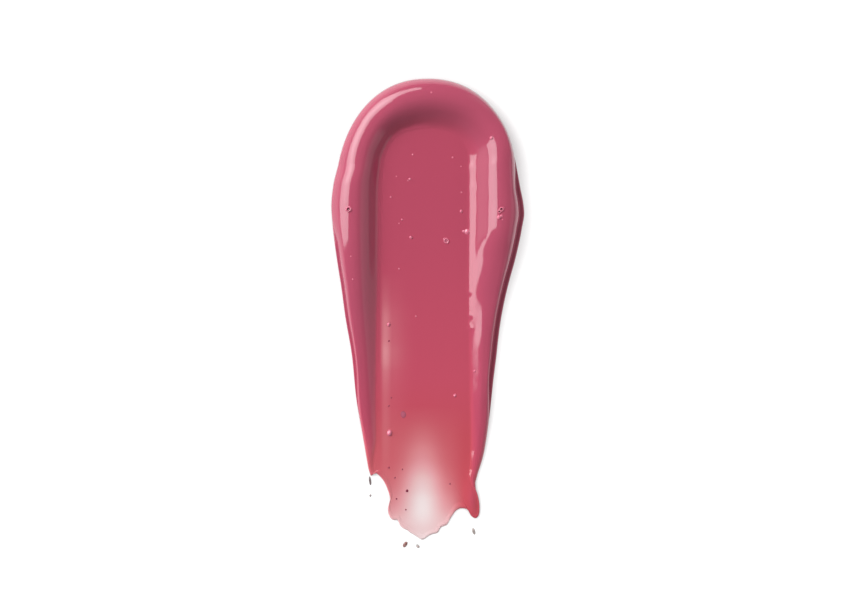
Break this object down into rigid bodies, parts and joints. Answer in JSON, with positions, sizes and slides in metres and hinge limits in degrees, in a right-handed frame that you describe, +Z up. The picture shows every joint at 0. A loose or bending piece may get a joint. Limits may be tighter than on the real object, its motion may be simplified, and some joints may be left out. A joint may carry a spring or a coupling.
{
  "type": "lip gloss smear",
  "caption": "Smear of pink lip gloss: a swept film between raised beads that join round the head and thin towards a torn, translucent tail.",
  "frame": {"origin": "under the middle of the smear, on the plane of its flat underside", "axes": "+Z up from the surface that the smear lies on, +Y from the torn tail to the thick head, +X to the right with the head away from the viewer"},
  "size_m": [0.0177, 0.0434, 0.0026],
  "materials": {
    "thick_gloss": "wet, mirror-smooth, deep rose where the gloss is thick",
    "swept_gloss": "wet and smooth, rose, turning coral as the film thins",
    "thin_gloss": "wet, pale coral, translucent where the film is thinnest",
    "bubble_skin": "thin wet skin over an air bubble",
    "dried_fleck": "thin, dull specks of gloss"
  },
  "bodies": {
    "root": {"bubble_left_crest": "bubble_skin", "bubble_left_foot": "bubble_skin", "bubble_lower_left": "bubble_skin", "bubble_lower_oval": "bubble_skin", "bubble_lower_right": "bubble_skin", "bubble_right_crest_lower": "bubble_skin", "bubble_right_crest_upper": "bubble_skin", "bubble_right_shoulder": "bubble_skin", "bubble_right_slope": "bubble_skin", "bubble_slope_foot": "bubble_skin", "bubble_sweep_centre": "bubble_skin", "bubble_sweep_right": "bubble_skin", "bubble_sweep_ring": "bubble_skin", "bubble_sweep_upper_left": "bubble_skin", "bubble_tail": "bubble_skin", "fleck_left_dot": "dried_fleck", "fleck_left_sliver": "dried_fleck", "fleck_right": "dried_fleck", "fleck_tip_left": "dried_fleck", "fleck_tip_middle": "dried_fleck", "head_bead": "thick_gloss", "left_bead": "thick_gloss", "micro_bubbles_beads": "bubble_skin", "micro_bubbles_sweep": "bubble_skin", "micro_bubbles_tail": "bubble_skin", "right_bead": "thick_gloss", "right_horn": "thin_gloss", "swept_film": "swept_gloss", "tail_film": "thin_gloss"}
  },
  "joints": []
}
